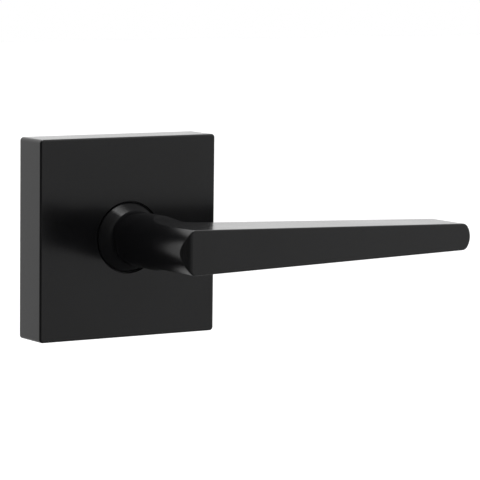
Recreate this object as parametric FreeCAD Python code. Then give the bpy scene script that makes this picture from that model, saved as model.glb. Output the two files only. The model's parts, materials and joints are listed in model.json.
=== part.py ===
import FreeCAD, Part
import math
import os

# Door lever handle: one half of a lever set, with a square rose that hides its fixings.
# Origin: centre of the rose on the door's face, on the axis that the lever turns about.
# +X runs along the lever to its tip, +Y goes into the door and +Z is up.
# Depths are given as a stand-off: the distance out of the door's face, so y = -stand_off.

# ---- driving dimensions, millimetres ----
ROSE_SIZE = 65.0
ROSE_DEPTH = 13.5
ROSE_FACE = 2.2
ROSE_WALL = 2.0
ROSE_CORNER_R = 1.2
ROSE_FRONT_EDGE_R = 0.6
ROSE_HOLE_R = 11.8

NECK_R = 8.8
LEVER_FRONT = 62.0
LEVER_TIP_X = 101.2
LEVER_HALF_HEIGHT = 7.0       # at the turning axis
LEVER_HALF_TAPER = 0.0265     # half height lost for each millimetre towards the tip
LEVER_DEPTH_ROOT = 23.6       # front to back, at the turning axis
LEVER_DEPTH_TIP = 17.6        # front to back, at the far measuring place
LEVER_DEPTH_TIP_X = 100.0     # the far measuring place
LEVER_TIP_END_R = 6.0         # the shallow bulge of the tip, seen from the front
LEVER_TIP_CORNER_R = 2.4
LEVER_EDGE_R = 0.4
KNUCKLE_CORNER_R = 3.4        # front left corner of the knuckle, seen from above
KNUCKLE_CORNER_TURN = 75.0    # degrees, from the front face to the crease on the neck's side
KNUCKLE_SHOULDER_R = 1.2      # where the round side meets the flat top and bottom
KNUCKLE_FLAT_START = 42.0     # stand-off where the flat top and bottom begin
KNUCKLE_BLEND_R = 28.0        # sweep from the flats back to the round neck
KNUCKLE_BLEND_RUN_OUT = 0.6   # how far the sweep climbs clear of the neck
KNUCKLE_CUT_HEIGHT = 6.0      # what the sweep takes off, above the flats
NECK_TO_ARM_R = 4.5
NECK_BACK = 10.3
NECK_FLARE_GROWTH = 2.6       # how much wider the neck's base is than the neck
NECK_FLARE_SLOPE = 27.0       # degrees, between the flared base's side and the axis
NECK_FLARE_BLEND_R = 3.0
NECK_FLARE_BACK = 12.9        # the flare's flat back, just inside the rose's face
NECK_FLARE_RIM = 0.2

SPINDLE_SIDE = 8.0
SPINDLE_CORNER = 0.6
SPINDLE_REACH = 45.0          # beyond the door's face
HUB_NOSE_R = 7.0
HUB_JOURNAL_R = 8.0
HUB_DRIVE_R = 9.5
HUB_DRIVE_FLAT = 8.15
HUB_COLLAR_R = 10.4
HUB_SHAFT_PLAY = 0.05         # radial running clearance of the hub in its bushing
NECK_PLAY = 0.08              # radial running clearance of the neck in its guide ring
HUB_BACK = 0.4
HUB_NOSE_END = 27.0
HUB_NOSE_PLAY = 0.5           # past the hub's nose, in the lever's socket
HUB_COLLAR_THICK = 0.4
CIRCLIP_GROOVE_R = 7.3
CIRCLIP_R = 9.6
CIRCLIP_GAP_HALF = 1.6
CIRCLIP_BACK = 1.1
CIRCLIP_FRONT = 2.0
SPINDLE_PLAY = 0.05
SPINDLE_END_GAP = 0.5         # between the spindle's end and the end of the hub's socket
HUB_NOSE_WALL = 1.5           # closes the front of the hub's socket

PLATE_SIZE = 60.4
PLATE_BACK = 0.8
PLATE_FRONT = 3.8
GUIDE_RING_FRONT = 12.4
GUIDE_FLANGE_BACK = 10.5
GUIDE_FLANGE_R = 13.2

BOSS_R = 11.0
BOSS_FRONT = 7.6
BUSHING_WALL_R = 9.5
BUSHING_FLANGE = 0.8
COUNTERBORE_R = 12.5
COUNTERBORE_DEPTH = 2.0
WASHER_R = 12.0
WASHER_THICK = 0.6

CAM_BACK = 8.5
CAM_THICK = 1.4
CAM_RING_R = 12.0
CAM_ARM_HALF = 4.0
CAM_ARM_REACH = 19.0
TAB_BACK = 4.2
TAB_HALF = 2.35
TAB_INNER_X = 17.0
TAB_OUTER_X = 19.0
TANG_INNER_X = 20.4
TANG_OUTER_X = 22.4

SPRING_WIRE_R = 0.7
SPRING_COIL_R = 13.2
SPRING_LEG_Z = 3.15
SPRING_LEG_END_X = 23.8
SPRING_BEND_R = 2.0
SPRING_FIRST_S = 4.6
SPRING_PITCH = 1.5

LEVER_TRAVEL_DEG = 50.0
STOP_PIN_R = 1.5
STOP_PIN_RADIUS = 16.2
STOP_PIN_PLAY = 0.1

POST_SPACING = 41.3
POST_R = 3.5
POST_NECK_R = 2.6
POST_HEAD_R = 4.2
POST_REACH = 28.0
POST_RIVET_HEIGHT = 1.2
POST_RIVET_TAPER = 0.8
POST_THREAD_R = 1.65
POST_THREAD_DEPTH = 13.0
POST_LEAD_IN = 0.5
GASKET_POST_PLAY = 1.4
GASKET_SCREW_PLAY = 0.3
GASKET_WASHER_PLAY = 1.0

COVER_SCREW_PLACE = 26.5
COVER_BOSS_R = 3.2
COVER_SCREW_R = 1.5
COVER_SCREW_HEAD_R = 2.9
COVER_SCREW_TIP = 9.4
COVER_BORE_TIP = 10.2
DRIVER_SLOT_HALF_WIDTH = 0.45
DRIVER_SLOT_REACH = 1.6
DRIVER_SLOT_DEPTH = 0.8

SET_SCREW_S = 20.5
SET_SCREW_R = 2.5
SET_SCREW_BITE = 1.5          # into the hub's nose
SET_SCREW_SINK = 0.3          # below the neck's surface
SET_SCREW_PLAY = 0.02
SET_SCREW_SOCKET_ACROSS = 2.5
SET_SCREW_SOCKET_DEPTH = 1.7
PIN_S = 14.6
PIN_R = 1.25
PIN_SINK = 0.2                # each end of the pin below the hub's surface

BIG = 200.0                   # past every edge of the handle
CUT_MARGIN = 1.0              # how far a cutting shape runs past what it cuts
SAME_PLACE = 0.01             # closer than this counts as the same place
HALF_ROOT = math.sqrt(0.5)


def point(x, z, stand_off):
    return FreeCAD.Vector(x, -stand_off, z)


OUTWARD = FreeCAD.Vector(0, -1, 0)
UP = FreeCAD.Vector(0, 0, 1)
ALONG_X = FreeCAD.Vector(1, 0, 0)


def disc(radius, low, high, x=0.0, z=0.0):
    return Part.makeCylinder(radius, high - low, point(x, z, low), OUTWARD)


def ring(outer, inner, low, high):
    return disc(outer, low, high).cut(disc(inner, low - CUT_MARGIN, high + CUT_MARGIN))


def cone(radius_low, radius_high, low, high, x=0.0, z=0.0):
    return Part.makeCone(radius_low, radius_high, high - low, point(x, z, low), OUTWARD)


def block(x_low, x_high, z_low, z_high, low, high):
    corner = FreeCAD.Vector(x_low, -high, z_low)
    return Part.makeBox(x_high - x_low, high - low, z_high - z_low, corner)


def square(side, low, high, corner_r):
    half = side / 2
    body = block(-half, half, -half, half, low, high)
    corners = [e for e in body.Edges if e.BoundBox.YLength > (high - low) / 2]
    return body.makeFillet(corner_r, corners)


def lines(points):
    return [Part.makeLine(a, b) for a, b in zip(points[:-1], points[1:])]


def arc(start, middle, end):
    return Part.Arc(start, middle, end).toShape()


def face(edges):
    return Part.Face(Part.Wire(edges))


def turned(edges):
    return face(edges).revolve(FreeCAD.Vector(0, 0, 0), FreeCAD.Vector(0, 1, 0), 360)


def half_height(x):
    return LEVER_HALF_HEIGHT - LEVER_HALF_TAPER * x


def arm_back(x):
    depth = LEVER_DEPTH_ROOT + (LEVER_DEPTH_TIP - LEVER_DEPTH_ROOT) * x / LEVER_DEPTH_TIP_X
    return LEVER_FRONT - depth


# ---- rose cover and what it is fixed to ----

def rose_cover():
    shell = square(ROSE_SIZE, 0, ROSE_DEPTH, ROSE_CORNER_R)
    front = [e for e in shell.Edges if e.BoundBox.YMax < -ROSE_DEPTH + SAME_PLACE]
    shell = shell.makeFillet(ROSE_FRONT_EDGE_R, front)
    inner_size = ROSE_SIZE - 2 * ROSE_WALL
    hollow = square(inner_size, -CUT_MARGIN, ROSE_DEPTH - ROSE_FACE, ROSE_CORNER_R)
    shell = shell.cut(hollow).cut(disc(ROSE_HOLE_R, 0, ROSE_DEPTH + CUT_MARGIN))
    for x, z in cover_screw_places():
        boss = disc(COVER_BOSS_R, PLATE_FRONT, ROSE_DEPTH - ROSE_FACE, x, z)
        bore = disc(COVER_SCREW_R, PLATE_FRONT - CUT_MARGIN, COVER_BORE_TIP, x, z)
        shell = shell.fuse(boss).cut(bore)
    return shell.removeSplitter()


def cover_screw_places():
    signs = [(-1, -1), (-1, 1), (1, -1), (1, 1)]
    return [(a * COVER_SCREW_PLACE, b * COVER_SCREW_PLACE) for a, b in signs]


def post_places():
    return [(0.0, POST_SPACING / 2), (0.0, -POST_SPACING / 2)]


def stop_pin_places():
    reach = CAM_ARM_HALF + STOP_PIN_R + STOP_PIN_PLAY
    angle = math.radians(LEVER_TRAVEL_DEG) + math.asin(reach / STOP_PIN_RADIUS)
    x = STOP_PIN_RADIUS * math.cos(angle)
    z = STOP_PIN_RADIUS * math.sin(angle)
    return [(x, z), (x, -z)]


def mounting_plate():
    plate = square(PLATE_SIZE, PLATE_BACK, PLATE_FRONT, ROSE_CORNER_R)
    plate = plate.fuse(disc(BOSS_R, PLATE_FRONT, BOSS_FRONT))
    plate = plate.cut(disc(BUSHING_WALL_R, 0, BOSS_FRONT + CUT_MARGIN))
    plate = plate.cut(disc(COUNTERBORE_R, 0, PLATE_BACK + COUNTERBORE_DEPTH))
    for x, z in cover_screw_places():
        plate = plate.cut(disc(COVER_SCREW_R, 0, PLATE_FRONT + CUT_MARGIN, x, z))
        plate = plate.cut(cover_screw_head(x, z))
    for x, z in post_places():
        plate = plate.cut(disc(POST_NECK_R, 0, PLATE_FRONT + CUT_MARGIN, x, z))
    for x, z in stop_pin_places():
        plate = plate.cut(disc(STOP_PIN_R, 0, PLATE_FRONT + CUT_MARGIN, x, z))
    tang_back = PLATE_FRONT - CUT_MARGIN
    tang = block(TANG_INNER_X, TANG_OUTER_X, -TAB_HALF, TAB_HALF, tang_back, CAM_BACK)
    return plate.fuse(tang).removeSplitter()


def door_gasket():
    sheet = square(PLATE_SIZE, 0, PLATE_BACK, ROSE_CORNER_R)
    sheet = sheet.cut(disc(COUNTERBORE_R + GASKET_WASHER_PLAY, -CUT_MARGIN, PLATE_BACK + CUT_MARGIN))
    for x, z in post_places():
        sheet = sheet.cut(disc(POST_R + GASKET_POST_PLAY, -CUT_MARGIN, PLATE_BACK + CUT_MARGIN, x, z))
    for x, z in cover_screw_places():
        head_r = COVER_SCREW_HEAD_R + GASKET_SCREW_PLAY
        sheet = sheet.cut(disc(head_r, -CUT_MARGIN, PLATE_BACK + CUT_MARGIN, x, z))
    return sheet


def cover_screw_head(x, z):
    depth = COVER_SCREW_HEAD_R - COVER_SCREW_R
    return cone(COVER_SCREW_HEAD_R, COVER_SCREW_R, PLATE_BACK, PLATE_BACK + depth, x, z)


def cover_screws():
    wide = DRIVER_SLOT_REACH
    narrow = DRIVER_SLOT_HALF_WIDTH
    slot_front = PLATE_BACK + DRIVER_SLOT_DEPTH
    screws = []
    for x, z in cover_screw_places():
        screw = cover_screw_head(x, z).fuse(disc(COVER_SCREW_R, PLATE_BACK, COVER_SCREW_TIP, x, z))
        for half_x, half_z in ((wide, narrow), (narrow, wide)):
            screw = screw.cut(block(x - half_x, x + half_x, z - half_z, z + half_z, 0, slot_front))
        screws.append(screw.removeSplitter())
    return Part.makeCompound(screws)


def fixing_post(x, z):
    post = disc(POST_R, -POST_REACH, PLATE_BACK, x, z)
    post = post.fuse(disc(POST_NECK_R, PLATE_BACK, PLATE_FRONT, x, z))
    rivet_top = PLATE_FRONT + POST_RIVET_HEIGHT
    post = post.fuse(cone(POST_HEAD_R, POST_HEAD_R - POST_RIVET_TAPER, PLATE_FRONT, rivet_top, x, z))
    thread_end = -POST_REACH + POST_THREAD_DEPTH
    post = post.cut(disc(POST_THREAD_R, -POST_REACH - CUT_MARGIN, thread_end, x, z))
    mouth_end = -POST_REACH + POST_LEAD_IN
    mouth = cone(POST_THREAD_R + POST_LEAD_IN, POST_THREAD_R, -POST_REACH, mouth_end, x, z)
    return post.cut(mouth).removeSplitter()


def stop_pins():
    pins = [disc(STOP_PIN_R, PLATE_BACK, CAM_BACK + CAM_THICK, x, z) for x, z in stop_pin_places()]
    return Part.makeCompound(pins)


def neck_bushing():
    bore = HUB_JOURNAL_R + HUB_SHAFT_PLAY
    sleeve = ring(BUSHING_WALL_R, bore, PLATE_BACK + COUNTERBORE_DEPTH, BOSS_FRONT)
    flange = ring(BOSS_R, bore, BOSS_FRONT, BOSS_FRONT + BUSHING_FLANGE)
    return sleeve.fuse(flange).removeSplitter()


def rose_bearing_ring():
    bore = NECK_R + NECK_PLAY
    face_back = ROSE_DEPTH - ROSE_FACE
    sleeve = ring(ROSE_HOLE_R, bore, face_back, GUIDE_RING_FRONT)
    flange = ring(GUIDE_FLANGE_R, bore, GUIDE_FLANGE_BACK, face_back)
    return sleeve.fuse(flange).removeSplitter()


def thrust_washer():
    front = PLATE_BACK + COUNTERBORE_DEPTH
    return ring(WASHER_R, HUB_JOURNAL_R + HUB_SHAFT_PLAY, front - WASHER_THICK, front)


# ---- return spring ----

def return_spring():
    # a leg, a bend, nearly two turns, a bend and a leg, all one wire
    bend_z = SPRING_LEG_Z + SPRING_BEND_R
    bend_x = math.sqrt((SPRING_COIL_R + SPRING_BEND_R) ** 2 - bend_z ** 2)
    start = math.atan2(bend_z, bend_x)
    sweep = 4 * math.pi - 2 * start
    rise = SPRING_PITCH * sweep / (2 * math.pi)
    coil = Part.makeHelix(SPRING_PITCH, rise, SPRING_COIL_R)
    # the helix climbs +Z from +X: turn it to climb out of the door from the first leg
    coil.rotate(FreeCAD.Vector(0, 0, 0), ALONG_X, 90)
    coil.rotate(FreeCAD.Vector(0, 0, 0), FreeCAD.Vector(0, 1, 0), -math.degrees(start))
    coil.translate(point(0, 0, SPRING_FIRST_S))
    first_leg = spring_leg(bend_x, bend_z, start, 1, SPRING_FIRST_S)
    last_leg = spring_leg(bend_x, bend_z, start, -1, SPRING_FIRST_S + rise)
    path = Part.Wire(Part.__sortEdges__(first_leg + coil.Edges + last_leg))
    wire_end = Part.makeCircle(SPRING_WIRE_R, first_leg[0].valueAt(0), ALONG_X)
    return path.makePipeShell([Part.Wire(wire_end)], True, False)


def spring_leg(bend_x, bend_z, start, side, stand_off):
    # the leg runs in along X, then bends round to meet the coil
    outer = point(SPRING_LEG_END_X, side * SPRING_LEG_Z, stand_off)
    bend_start = point(bend_x, side * SPRING_LEG_Z, stand_off)
    joined = point(SPRING_COIL_R * math.cos(start), side * SPRING_COIL_R * math.sin(start), stand_off)
    half_way = (1.5 * math.pi + math.pi + start) / 2
    middle = point(bend_x + SPRING_BEND_R * math.cos(half_way),
                   side * (bend_z + SPRING_BEND_R * math.sin(half_way)), stand_off)
    return [Part.makeLine(outer, bend_start), arc(bend_start, middle, joined)]


# ---- hub, cam and spindle, which turn with the lever ----

def spindle_hub():
    journal = disc(HUB_JOURNAL_R, HUB_BACK, CAM_BACK)
    drive_band = block(-BIG, BIG, -HUB_DRIVE_FLAT, HUB_DRIVE_FLAT, 0, BIG)
    collar_back = CAM_BACK + CAM_THICK
    collar_front = collar_back + HUB_COLLAR_THICK
    drive = disc(HUB_DRIVE_R, CAM_BACK, collar_back).common(drive_band)
    collar = disc(HUB_COLLAR_R, collar_back, collar_front)
    nose = disc(HUB_NOSE_R, collar_front, HUB_NOSE_END)
    hub = journal.fuse(drive).fuse(collar).fuse(nose)
    hub = hub.cut(ring(HUB_JOURNAL_R + CUT_MARGIN, CIRCLIP_GROOVE_R, CIRCLIP_BACK, CIRCLIP_FRONT))
    half = SPINDLE_SIDE / 2 + SPINDLE_PLAY
    hub = hub.cut(block(-half, half, -half, half, 0, HUB_NOSE_END - HUB_NOSE_WALL))
    hub = hub.cut(cross_hole(PIN_R))
    return hub.cut(set_screw_body(0)).removeSplitter()


def cross_hole(radius):
    return Part.makeCylinder(radius, 2 * BIG, point(-BIG, 0, PIN_S), ALONG_X)


def spindle_pin():
    half = HUB_NOSE_R - PIN_SINK
    return Part.makeCylinder(PIN_R, 2 * half, point(-half, 0, PIN_S), ALONG_X)


def spindle():
    half = SPINDLE_SIDE / 2
    front = HUB_NOSE_END - HUB_NOSE_WALL - SPINDLE_END_GAP
    bar = block(-half, half, -half, half, -SPINDLE_REACH, front)
    corners = [e for e in bar.Edges if e.BoundBox.YLength > SPINDLE_REACH]
    bar = bar.makeChamfer(SPINDLE_CORNER, corners)
    return bar.cut(cross_hole(PIN_R))


def retaining_ring():
    clip = ring(CIRCLIP_R, CIRCLIP_GROOVE_R, CIRCLIP_BACK, CIRCLIP_FRONT)
    gap = block(0, BIG, -CIRCLIP_GAP_HALF, CIRCLIP_GAP_HALF, 0, CIRCLIP_FRONT + CUT_MARGIN)
    return clip.cut(gap)


def drive_cam():
    front = CAM_BACK + CAM_THICK
    cam = disc(CAM_RING_R, CAM_BACK, front)
    cam = cam.fuse(block(0, CAM_ARM_REACH, -CAM_ARM_HALF, CAM_ARM_HALF, CAM_BACK, front))
    drive_band = block(-BIG, BIG, -HUB_DRIVE_FLAT, HUB_DRIVE_FLAT, 0, BIG)
    cam = cam.cut(disc(HUB_DRIVE_R, 0, BIG).common(drive_band))
    tab = block(TAB_INNER_X, TAB_OUTER_X, -TAB_HALF, TAB_HALF, TAB_BACK, front)
    return cam.fuse(tab).removeSplitter()


def set_screw_body(play):
    seat = HUB_NOSE_R - SET_SCREW_BITE
    mouth = NECK_R - SET_SCREW_SINK
    return Part.makeCylinder(SET_SCREW_R - play, mouth - seat, point(0, -mouth, SET_SCREW_S), UP)


def lever_set_screw():
    # a hexagon socket in the end that faces down
    corner_r = SET_SCREW_SOCKET_ACROSS / 2 / math.cos(math.pi / 6)
    angles = [k * math.pi / 3 for k in range(7)]
    corners = [point(corner_r * math.cos(a), -NECK_R, SET_SCREW_S + corner_r * math.sin(a)) for a in angles]
    depth = SET_SCREW_SINK + SET_SCREW_SOCKET_DEPTH
    socket = face(lines(corners)).extrude(FreeCAD.Vector(0, 0, depth))
    return set_screw_body(SET_SCREW_PLAY).cut(socket)


# ---- lever ----

def neck():
    # a cylinder whose base widens in a cone, with a hollow curve between the two
    rim_front = NECK_FLARE_BACK + NECK_FLARE_RIM
    rim_r = NECK_R + NECK_FLARE_GROWTH
    slope = math.radians(NECK_FLARE_SLOPE)
    cone_growth = NECK_FLARE_GROWTH - NECK_FLARE_BLEND_R * (1 - math.cos(slope))
    cone_end = rim_front + cone_growth / math.tan(slope)
    blend_end = cone_end + NECK_FLARE_BLEND_R * math.sin(slope)

    def on_blend(turn):
        r = NECK_R + NECK_FLARE_BLEND_R * (1 - math.cos(turn))
        return point(r, 0, blend_end - NECK_FLARE_BLEND_R * math.sin(turn))

    edges = lines([point(0, 0, NECK_BACK), point(NECK_R, 0, NECK_BACK), point(NECK_R, 0, NECK_FLARE_BACK),
                   point(rim_r, 0, NECK_FLARE_BACK), point(rim_r, 0, rim_front), on_blend(slope)])
    edges.append(arc(on_blend(slope), on_blend(slope / 2), on_blend(0)))
    edges += lines([on_blend(0), point(NECK_R, 0, KNUCKLE_FLAT_START), point(0, 0, KNUCKLE_FLAT_START),
                    point(0, 0, NECK_BACK)])
    return turned(edges)


def knuckle_sweep(side):
    # what the neck loses where it sweeps in to meet the lever's flat top or bottom
    x = -NECK_R - CUT_MARGIN
    rise = NECK_R - half_height(NECK_R) + KNUCKLE_BLEND_RUN_OUT
    turn = math.acos(1 - rise / KNUCKLE_BLEND_R)

    def place(back, up):
        return point(x, side * (half_height(x) + up), KNUCKLE_FLAT_START - back)

    flat = place(0, 0)
    middle = place(KNUCKLE_BLEND_R * math.sin(turn / 2), KNUCKLE_BLEND_R * (1 - math.cos(turn / 2)))
    crest = place(KNUCKLE_BLEND_R * math.sin(turn), rise)
    edges = [arc(flat, middle, crest)]
    edges += lines([crest, place(KNUCKLE_BLEND_R * math.sin(turn), KNUCKLE_CUT_HEIGHT),
                    place(-CUT_MARGIN, KNUCKLE_CUT_HEIGHT), place(-CUT_MARGIN, 0), flat])
    width = 2 * (NECK_R + CUT_MARGIN)
    return face(edges).extrude(FreeCAD.Vector(width, 0, -side * LEVER_HALF_TAPER * width))


def tip_corner_x():
    # where the tip's bulge would meet the straight top edge
    z = half_height(LEVER_TIP_X)
    x = LEVER_TIP_X - LEVER_TIP_END_R + math.sqrt(LEVER_TIP_END_R ** 2 - z ** 2)
    z = half_height(x)
    return LEVER_TIP_X - LEVER_TIP_END_R + math.sqrt(LEVER_TIP_END_R ** 2 - z ** 2)


def knuckle_corner_x():
    # where the neck's circle meets the straight top edge, left of the axis
    slope = LEVER_HALF_TAPER
    a = 1 + slope ** 2
    b = -2 * slope * LEVER_HALF_HEIGHT
    c = LEVER_HALF_HEIGHT ** 2 - NECK_R ** 2
    return (-b - math.sqrt(b * b - 4 * a * c)) / (2 * a)


def outline_prism(left_edges, x_left, low):
    # the lever's outline seen from the front, closed on the left by the edges given
    x_right = tip_corner_x()
    top_right = point(x_right, half_height(x_right), low)
    low_right = point(x_right, -half_height(x_right), low)
    top_left = point(x_left, half_height(x_left), low)
    low_left = point(x_left, -half_height(x_left), low)
    edges = [Part.makeLine(top_left, top_right), arc(top_right, point(LEVER_TIP_X, 0, low), low_right),
             Part.makeLine(low_right, low_left)] + left_edges(low_left, top_left)
    body = face(edges).extrude(FreeCAD.Vector(0, -(LEVER_FRONT - low), 0))
    upright = [e for e in body.Edges if e.BoundBox.YLength > CUT_MARGIN and e.BoundBox.XLength < SAME_PLACE]
    corners = [e for e in upright if e.BoundBox.XMin > x_right - CUT_MARGIN]
    return body.makeFillet(LEVER_TIP_CORNER_R, corners)


def front_edges(body):
    # the whole edge between the sides and the front, its rounded left corner included
    behind = LEVER_FRONT - KNUCKLE_CORNER_R
    return [e for e in body.Edges if e.BoundBox.YMax < -behind and not upright_seam(e)]


def upright_seam(edge):
    # where the rounded corner runs into the front without a crease, or a square end is hidden
    return edge.BoundBox.ZLength > LEVER_HALF_HEIGHT and edge.BoundBox.XLength < SAME_PLACE


def round_end(low_left, top_left):
    return [arc(low_left, FreeCAD.Vector(-NECK_R, low_left.y, 0), top_left)]


def knuckle():
    body = outline_prism(round_end, knuckle_corner_x(), KNUCKLE_FLAT_START)
    shoulders = [e for e in body.Edges if e.BoundBox.YLength > CUT_MARGIN and e.BoundBox.XMax < 0]
    body = body.makeFillet(KNUCKLE_SHOULDER_R, shoulders)
    body = body.cut(knuckle_corner())
    body = body.makeFillet(LEVER_EDGE_R, front_edges(body))
    return body.common(block(-BIG, NECK_R * 2, -BIG, BIG, 0, BIG))


def knuckle_corner():
    # the corner that the rounding takes off, seen from above
    r = KNUCKLE_CORNER_R
    full_turn = math.radians(KNUCKLE_CORNER_TURN)
    tangent_x = -NECK_R + r * math.sin(full_turn)
    low = -NECK_R - CUT_MARGIN

    def on_arc(turn):
        return point(tangent_x - r * math.sin(turn), low, LEVER_FRONT - r * (1 - math.cos(turn)))

    crease = on_arc(full_turn)
    front = on_arc(0)
    outside_x = -NECK_R - CUT_MARGIN
    outside_front = LEVER_FRONT + CUT_MARGIN
    edges = [arc(crease, on_arc(full_turn / 2), front)]
    edges += lines([front, point(front.x, low, outside_front), point(outside_x, low, outside_front),
                    point(outside_x, low, -crease.y), crease])
    return face(edges).extrude(FreeCAD.Vector(0, 0, -2 * low))


def behind_arm():
    # everything behind the arm's sloping back face
    x_far = LEVER_TIP_X + CUT_MARGIN
    corners = [point(0, -BIG, 0), point(0, -BIG, arm_back(0)), point(x_far, -BIG, arm_back(x_far)),
               point(x_far, -BIG, 0), point(0, -BIG, 0)]
    return face(lines(corners)).extrude(FreeCAD.Vector(0, 0, 2 * BIG))


def square_end(low_left, top_left):
    return [Part.makeLine(low_left, top_left)]


def arm():
    body = outline_prism(square_end, 0.0, NECK_R)
    body = body.cut(behind_arm())
    back = [e for e in body.Edges if e.BoundBox.YMin > -arm_back(LEVER_TIP_X) - CUT_MARGIN
            and e.BoundBox.XMax > NECK_R]
    return body.makeFillet(LEVER_EDGE_R, front_edges(body) + back)


def arm_root():
    # the hollow curve between the neck and the back of the arm
    r = NECK_TO_ARM_R
    outer = NECK_R + r
    back = arm_back(outer)
    start = point(NECK_R, 0, back - r)
    middle = point(outer - r * HALF_ROOT, 0, back - r + r * HALF_ROOT)
    end = point(outer, 0, back)
    inside = NECK_R - CUT_MARGIN
    edges = [arc(start, middle, end)]
    edges += lines([end, point(outer, 0, back + CUT_MARGIN), point(inside, 0, back + CUT_MARGIN),
                    point(inside, 0, back - r), start])
    return turned(edges).common(outline_prism(square_end, 0.0, NECK_R))


def lever_handle():
    body = neck().cut(knuckle_sweep(1)).cut(knuckle_sweep(-1))
    body = body.fuse(knuckle()).fuse(arm()).fuse(arm_root())
    body = body.cut(disc(HUB_NOSE_R, 0, HUB_NOSE_END + HUB_NOSE_PLAY))
    below_neck = point(0, -NECK_R - CUT_MARGIN, SET_SCREW_S)
    screw_hole = Part.makeCylinder(SET_SCREW_R, NECK_R, below_neck, UP)
    return body.cut(screw_hole).removeSplitter()


def parts():
    upper, lower = post_places()
    return {
        "rose_cover": rose_cover(),
        "mounting_plate": mounting_plate(),
        "door_gasket": door_gasket(),
        "cover_screws": cover_screws(),
        "fixing_post_upper": fixing_post(*upper),
        "fixing_post_lower": fixing_post(*lower),
        "stop_pins": stop_pins(),
        "neck_bushing": neck_bushing(),
        "rose_bearing_ring": rose_bearing_ring(),
        "thrust_washer": thrust_washer(),
        "return_spring": return_spring(),
        "spindle_hub": spindle_hub(),
        "drive_cam": drive_cam(),
        "retaining_ring": retaining_ring(),
        "spindle": spindle(),
        "spindle_pin": spindle_pin(),
        "lever_set_screw": lever_set_screw(),
        "lever_handle": lever_handle(),
    }


def main():
    os.makedirs("parts", exist_ok=True)
    for name, shape in parts().items():
        shape.exportStep("parts/" + name + ".step")
        print(name, "valid" if shape.isValid() else "NOT VALID", len(shape.Solids), round(shape.Volume, 1))


main()
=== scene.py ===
import json
import math

import bpy
from mathutils import Matrix, Vector

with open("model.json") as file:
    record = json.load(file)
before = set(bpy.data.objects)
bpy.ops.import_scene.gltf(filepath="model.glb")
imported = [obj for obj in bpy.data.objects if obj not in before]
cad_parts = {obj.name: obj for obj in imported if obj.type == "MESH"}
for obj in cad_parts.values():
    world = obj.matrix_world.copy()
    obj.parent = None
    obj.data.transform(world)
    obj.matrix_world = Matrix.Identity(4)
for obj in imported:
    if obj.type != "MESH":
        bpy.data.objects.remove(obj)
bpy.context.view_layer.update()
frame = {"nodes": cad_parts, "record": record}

# One unit is a metre and the axes are the frame's: +X to the lever's tip, +Y into the door, +Z up.
MM = 0.001
nodes = frame["nodes"]

SENSOR_MM = 36.0
LENS_MM = 215.25
CAMERA_AZIMUTH = math.radians(32.6)
CAMERA_ELEVATION = math.radians(6.3)
CAMERA_ROLL = math.radians(0.65)
# the frame's origin, measured from the camera along its own right, up and back
ORIGIN_IN_CAMERA = Vector((-43.14, 2.22, -938.0)) * MM


# ---- camera ----

def view_axes(azimuth, elevation, roll):
    # azimuth 0 looks along +Y; a positive azimuth stands the camera towards -X
    flat = Vector((math.sin(azimuth), math.cos(azimuth), 0))
    right = Vector((math.cos(azimuth), -math.sin(azimuth), 0))
    forward = flat * math.cos(elevation) - Vector((0, 0, 1)) * math.sin(elevation)
    up = Vector((0, 0, 1)) * math.cos(elevation) + flat * math.sin(elevation)
    tilted_right = right * math.cos(roll) + up * math.sin(roll)
    tilted_up = up * math.cos(roll) - right * math.sin(roll)
    return tilted_right, tilted_up, forward


def make_camera():
    right, up, forward = view_axes(CAMERA_AZIMUTH, CAMERA_ELEVATION, CAMERA_ROLL)
    turn = Matrix((right, up, -forward)).transposed()
    place = -(turn @ ORIGIN_IN_CAMERA)
    data = bpy.data.cameras.new("camera")
    data.sensor_width = SENSOR_MM
    data.lens = LENS_MM
    data.clip_start = 0.05
    data.clip_end = 60.0
    camera = bpy.data.objects.new("camera", data)
    camera.matrix_world = Matrix.Translation(place) @ turn.to_4x4()
    bpy.context.scene.collection.objects.link(camera)
    bpy.context.scene.camera = camera


make_camera()


# ---- studio ----

# the darker half of the room, where the camera stands: the object's front faces reflect it
DARK_SIDE = Vector((-0.76, -0.57, -0.30)).normalized()
# (how far a direction points to the dark side, from -1 to 1, and how bright the room is there)
ROOM = ((-0.90, 1.1), (-0.20, 1.0), (-0.10, 0.70), (0.04, 0.70), (0.10, 0.55), (0.16, 0.48),
        (0.35, 0.29), (0.60, 0.12), (0.75, 0.05), (0.95, 0.09))


def below_horizon(tree, direction):
    # how bright the room is for its height: it darkens below the horizon
    split = tree.nodes.new("ShaderNodeSeparateXYZ")
    tree.links.new(direction, split.inputs["Vector"])
    level = tree.nodes.new("ShaderNodeMapRange")
    level.interpolation_type = "SMOOTHSTEP"
    level.inputs["From Min"].default_value = -0.6
    level.inputs["From Max"].default_value = -0.1
    level.inputs["To Min"].default_value = 0.5
    level.inputs["To Max"].default_value = 1.0
    tree.links.new(split.outputs["Z"], level.inputs["Value"])
    return level.outputs["Result"]


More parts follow.
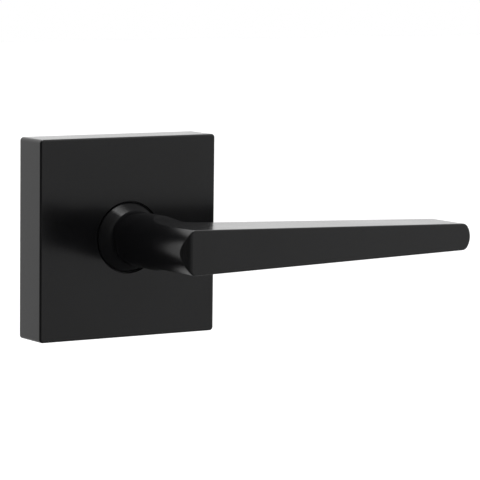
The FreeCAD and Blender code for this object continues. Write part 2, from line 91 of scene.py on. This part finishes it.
def make_world():
    scene = bpy.context.scene
    scene.view_settings.view_transform = "Standard"
    scene.view_settings.look = "None"
    world = bpy.data.worlds.new("studio")
    world.use_nodes = True
    scene.world = world
    tree = world.node_tree
    tree.nodes.clear()
    link = tree.links.new
    out = tree.nodes.new("ShaderNodeOutputWorld")
    coords = tree.nodes.new("ShaderNodeTexCoord")
    toward = tree.nodes.new("ShaderNodeVectorMath")
    toward.operation = "DOT_PRODUCT"
    toward.inputs[1].default_value = DARK_SIDE
    link(coords.outputs["Generated"], toward.inputs[0])
    share = tree.nodes.new("ShaderNodeMapRange")
    share.inputs["From Min"].default_value = -1.0
    link(toward.outputs["Value"], share.inputs["Value"])
    ramp = tree.nodes.new("ShaderNodeValToRGB")
    stops = ramp.color_ramp.elements
    while len(stops) < len(ROOM):
        stops.new(0.5)
    for stop, (turn, level) in zip(stops, ROOM):
        stop.position = (turn + 1) / 2
        stop.color = (level, level, level, 1)
    link(share.outputs["Result"], ramp.inputs["Fac"])
    lit = tree.nodes.new("ShaderNodeBackground")
    link(ramp.outputs["Color"], lit.inputs["Color"])
    link(below_horizon(tree, coords.outputs["Generated"]), lit.inputs["Strength"])
    seen = tree.nodes.new("ShaderNodeBackground")
    seen.inputs["Color"].default_value = (1, 1, 1, 1)
    path = tree.nodes.new("ShaderNodeLightPath")
    mix = tree.nodes.new("ShaderNodeMixShader")
    link(path.outputs["Is Camera Ray"], mix.inputs["Fac"])
    link(lit.outputs["Background"], mix.inputs[1])
    link(seen.outputs["Background"], mix.inputs[2])
    link(mix.outputs["Shader"], out.inputs["Surface"])


def make_overhead():
    # a softbox straight above, which gives the rounded corners their highlights
    side = 0.6
    height = 1.2
    radiance = 10.0            # about ten times the white back of the room
    data = bpy.data.lights.new("overhead", "AREA")
    data.shape = "SQUARE"
    data.size = side
    data.energy = radiance * math.pi * side * side
    light = bpy.data.objects.new("overhead", data)
    light.location = (0, 0, height)
    bpy.context.scene.collection.objects.link(light)


def make_floor():
    data = bpy.data.meshes.new("floor")
    half = 8.0
    low = -0.32
    data.from_pydata([(-half, -half, low), (half, -half, low), (half, half, low), (-half, half, low)],
                     [], [(0, 1, 2, 3)])
    floor = bpy.data.objects.new("floor", data)
    bpy.context.scene.collection.objects.link(floor)
    material = bpy.data.materials.new("floor")
    material.use_nodes = True
    shader = material.node_tree.nodes["Principled BSDF"]
    shader.inputs["Base Color"].default_value = (0.85, 0.85, 0.85, 1)
    shader.inputs["Roughness"].default_value = 0.9
    shader.inputs["Emission Color"].default_value = (1, 1, 1, 1)
    shader.inputs["Emission Strength"].default_value = 0.45
    data.materials.append(material)
    floor.visible_glossy = False


make_overhead()
make_world()
make_floor()


# ---- materials ----

def new_material(name):
    material = bpy.data.materials.new(name)
    material.use_nodes = True
    tree = material.node_tree
    return material, tree, tree.nodes["Principled BSDF"]


def place_coords(tree, stretch=(1, 1, 1)):
    coords = tree.nodes.new("ShaderNodeTexCoord")
    mapping = tree.nodes.new("ShaderNodeMapping")
    mapping.inputs["Scale"].default_value = stretch
    tree.links.new(coords.outputs["Object"], mapping.inputs["Vector"])
    return mapping.outputs["Vector"]


def noise(tree, vector, scale, detail=3.0, roughness=0.5):
    node = tree.nodes.new("ShaderNodeTexNoise")
    node.inputs["Scale"].default_value = scale
    node.inputs["Detail"].default_value = detail
    node.inputs["Roughness"].default_value = roughness
    tree.links.new(vector, node.inputs["Vector"])
    return node.outputs["Fac"]


def ramp(tree, factor, low, high, start=0.3, end=0.7):
    node = tree.nodes.new("ShaderNodeValToRGB")
    node.color_ramp.elements[0].position = start
    node.color_ramp.elements[0].color = low
    node.color_ramp.elements[1].position = end
    node.color_ramp.elements[1].color = high
    tree.links.new(factor, node.inputs["Fac"])
    return node.outputs["Color"]


def spread(tree, factor, low, high):
    node = tree.nodes.new("ShaderNodeMapRange")
    node.inputs["From Min"].default_value = 0.3
    node.inputs["From Max"].default_value = 0.7
    node.inputs["To Min"].default_value = low
    node.inputs["To Max"].default_value = high
    tree.links.new(factor, node.inputs["Value"])
    return node.outputs["Result"]


def bump(tree, shader, height, distance, strength):
    node = tree.nodes.new("ShaderNodeBump")
    node.inputs["Distance"].default_value = distance
    node.inputs["Strength"].default_value = strength
    tree.links.new(height, node.inputs["Height"])
    tree.links.new(node.outputs["Normal"], shader.inputs["Normal"])


def satin_black():
    material, tree, shader = new_material("satin_black")
    vector = place_coords(tree)
    broad = noise(tree, vector, 60.0, 2.0)
    fine = noise(tree, vector, 3500.0, 2.0)
    tree.links.new(ramp(tree, broad, (0.0034, 0.0034, 0.0038, 1), (0.0046, 0.0046, 0.0051, 1)),
                   shader.inputs["Base Color"])
    tree.links.new(spread(tree, broad, 0.16, 0.19), shader.inputs["Roughness"])
    shader.inputs["IOR"].default_value = 1.5
    bump(tree, shader, fine, 0.00001, 0.15)
    return material


def plated_steel():
    material, tree, shader = new_material("zinc_plated_steel")
    vector = place_coords(tree, (1, 0.12, 1))
    grain = noise(tree, vector, 1400.0, 4.0, 0.6)
    cloud = noise(tree, place_coords(tree), 90.0, 3.0)
    plate_color = ramp(tree, cloud, (0.52, 0.53, 0.55, 1), (0.68, 0.68, 0.66, 1))
    tree.links.new(plate_color, shader.inputs["Base Color"])
    tree.links.new(spread(tree, grain, 0.22, 0.4), shader.inputs["Roughness"])
    shader.inputs["Metallic"].default_value = 1.0
    bump(tree, shader, grain, 0.00001, 0.2)
    return material


def dark_steel(name, low, high, roughness):
    material, tree, shader = new_material(name)
    vector = place_coords(tree)
    cloud = noise(tree, vector, 240.0, 4.0)
    tree.links.new(ramp(tree, cloud, low, high), shader.inputs["Base Color"])
    tree.links.new(spread(tree, cloud, roughness, roughness + 0.12), shader.inputs["Roughness"])
    shader.inputs["Metallic"].default_value = 1.0
    bump(tree, shader, noise(tree, vector, 2600.0), 0.00001, 0.2)
    return material


def nylon(name, low, high):
    material, tree, shader = new_material(name)
    vector = place_coords(tree)
    cloud = noise(tree, vector, 150.0)
    tree.links.new(ramp(tree, cloud, low, high), shader.inputs["Base Color"])
    tree.links.new(spread(tree, cloud, 0.38, 0.5), shader.inputs["Roughness"])
    bump(tree, shader, noise(tree, vector, 1800.0), 0.00002, 0.2)
    return material


def foam():
    material, tree, shader = new_material("foam")
    vector = place_coords(tree)
    cells = tree.nodes.new("ShaderNodeTexVoronoi")
    cells.inputs["Scale"].default_value = 1700.0
    tree.links.new(vector, cells.inputs["Vector"])
    # painted shade: the foam's own near-black colour, made darker in the pits of its cells where the
    # bump is lowest
    foam_color_with_pit_shade = ramp(tree, cells.outputs["Distance"], (0.012, 0.012, 0.012, 1), (0.04, 0.04, 0.042, 1),
                      0.1, 0.6)
    tree.links.new(foam_color_with_pit_shade, shader.inputs["Base Color"])
    tree.links.new(spread(tree, noise(tree, vector, 200.0), 0.8, 0.95), shader.inputs["Roughness"])
    bump(tree, shader, cells.outputs["Distance"], 0.00015, 0.6)
    return material


FINISHES = {
    "satin_black": satin_black(),
    "zinc_plated_steel": plated_steel(),
    "spring_steel": dark_steel("spring_steel", (0.16, 0.16, 0.17, 1), (0.3, 0.29, 0.28, 1), 0.25),
    "dark_screw_steel": dark_steel("dark_screw_steel", (0.03, 0.03, 0.032, 1), (0.07, 0.07, 0.075, 1),
                                   0.32),
    "white_nylon": nylon("white_nylon", (0.62, 0.6, 0.54, 1), (0.72, 0.7, 0.64, 1)),
    "black_nylon": nylon("black_nylon", (0.014, 0.014, 0.014, 1), (0.022, 0.022, 0.022, 1)),
    "foam": foam(),
}


def finish_nodes():
    slots = {part["node"]: part["material_slot"] for part in frame["record"]["subparts"]}
    for name, node in nodes.items():
        material = FINISHES[slots[name]]
        if not node.data.materials:
            node.data.materials.append(material)
        for index in range(len(node.data.materials)):
            node.data.materials[index] = material


finish_nodes()
